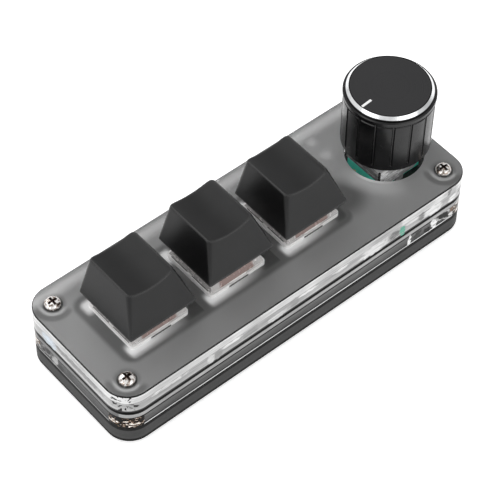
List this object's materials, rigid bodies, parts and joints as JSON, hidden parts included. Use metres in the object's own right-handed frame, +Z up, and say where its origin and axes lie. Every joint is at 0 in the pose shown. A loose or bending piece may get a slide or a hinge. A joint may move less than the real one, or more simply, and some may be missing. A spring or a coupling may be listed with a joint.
{
  "type": "programmable keypad",
  "caption": "Small desk keypad: a row of mechanical push keys and a push-and-turn knob on a black base, a clear frame and a frosted clear plate held by corner screws.",
  "frame": {"origin": "on the desk under the middle of the keypad, level with the undersides of the rubber feet", "axes": "+X along the key row towards the knob, +Y away from the user, +Z up"},
  "size_m": [0.103, 0.0362, 0.0397],
  "materials": {
    "frosted_acrylic": "frosted upper face, polished edges",
    "clear_acrylic": "clear, polished edges",
    "base_plastic": "fine matte",
    "screw_steel": "nickel plated",
    "insert_brass": "knurled",
    "foot_rubber": "matte",
    "board": "satin solder mask",
    "socket_steel": "plated",
    "black_moulding": "matte",
    "small_parts": "ceramic with tinned ends",
    "lamp_white": "clear lens over a white body",
    "switch_white": "satin",
    "switch_clear": "clear",
    "stem_red": "satin",
    "spring_steel": "bright wire",
    "contact_metal": "bright",
    "cap_plastic": "fine matte grain",
    "encoder_green": "satin",
    "encoder_steel": "bright zinc",
    "rotor_plastic": "natural nylon",
    "knob_plastic": "glossy black",
    "knob_metal": "spun black face inside a bright bevel",
    "pointer_paint": "white paint"
  },
  "bodies": {
    "root": {"top_plate": "frosted_acrylic", "mid_frame": "clear_acrylic", "base_shell": "base_plastic", "case_screws": "screw_steel", "threaded_inserts": "insert_brass", "rubber_feet": "foot_rubber", "pcb": "board", "usb_shell": "socket_steel", "usb_tongue": "black_moulding", "controller_chip": "black_moulding", "hotswap_sockets": "black_moulding", "smd_parts": "small_parts", "rgb_leds": "lamp_white", "switch_base_1": "switch_white", "switch_base_2": "switch_white", "switch_base_3": "switch_white", "switch_top_1": "switch_clear", "switch_top_2": "switch_clear", "switch_top_3": "switch_clear", "switch_spring_1": "spring_steel", "switch_spring_2": "spring_steel", "switch_spring_3": "spring_steel", "detent_spring": "spring_steel", "push_dome": "spring_steel", "switch_contacts_1": "contact_metal", "switch_contacts_2": "contact_metal", "switch_contacts_3": "contact_metal", "encoder_contacts": "contact_metal", "encoder_base": "encoder_green", "encoder_cover": "encoder_steel", "encoder_bushing": "encoder_steel"},
    "key_1": {"switch_stem_1": "stem_red", "keycap_1": "cap_plastic"},
    "key_2": {"switch_stem_2": "stem_red", "keycap_2": "cap_plastic"},
    "key_3": {"switch_stem_3": "stem_red", "keycap_3": "cap_plastic"},
    "rotor": {"encoder_rotor": "rotor_plastic"},
    "dial": {"encoder_shaft": "encoder_steel", "knob_body": "knob_plastic", "knob_cap": "knob_metal", "pointer_line": "pointer_paint"},
    "plunger": {"push_plunger": "rotor_plastic"}
  },
  "joints": [
    {"name": "key_1_press", "type": "slide", "parent": "root", "child": "key_1", "axis": [0, 0, -1], "range_m": [0, 0.004], "stiffness_N_per_m": 62.5, "springref_m": -0.0056, "deforming": ["switch_spring_1"]},
    {"name": "key_2_press", "type": "slide", "parent": "root", "child": "key_2", "axis": [0, 0, -1], "range_m": [0, 0.004], "stiffness_N_per_m": 62.5, "springref_m": -0.0056, "deforming": ["switch_spring_2"]},
    {"name": "key_3_press", "type": "slide", "parent": "root", "child": "key_3", "axis": [0, 0, -1], "range_m": [0, 0.004], "stiffness_N_per_m": 62.5, "springref_m": -0.0056, "deforming": ["switch_spring_3"]},
    {"name": "knob_turn", "type": "hinge", "parent": "root", "child": "rotor", "pos_m": [0.04, 0, 0.0165], "axis": [0, 0, 1], "continuous": true},
    {"name": "knob_push", "type": "slide", "parent": "rotor", "child": "dial", "axis": [0, 0, -1], "range_m": [0, 0.0005], "stiffness_N_per_m": 2000, "springref_m": -0.001},
    {"name": "plunger_push", "type": "slide", "parent": "root", "child": "plunger", "axis": [0, 0, -1], "range_m": [0, 0.0005]}
  ],
  "couplings": [
    {"joint": "plunger_push", "follows": "knob_push", "ratio": 1}
  ]
}
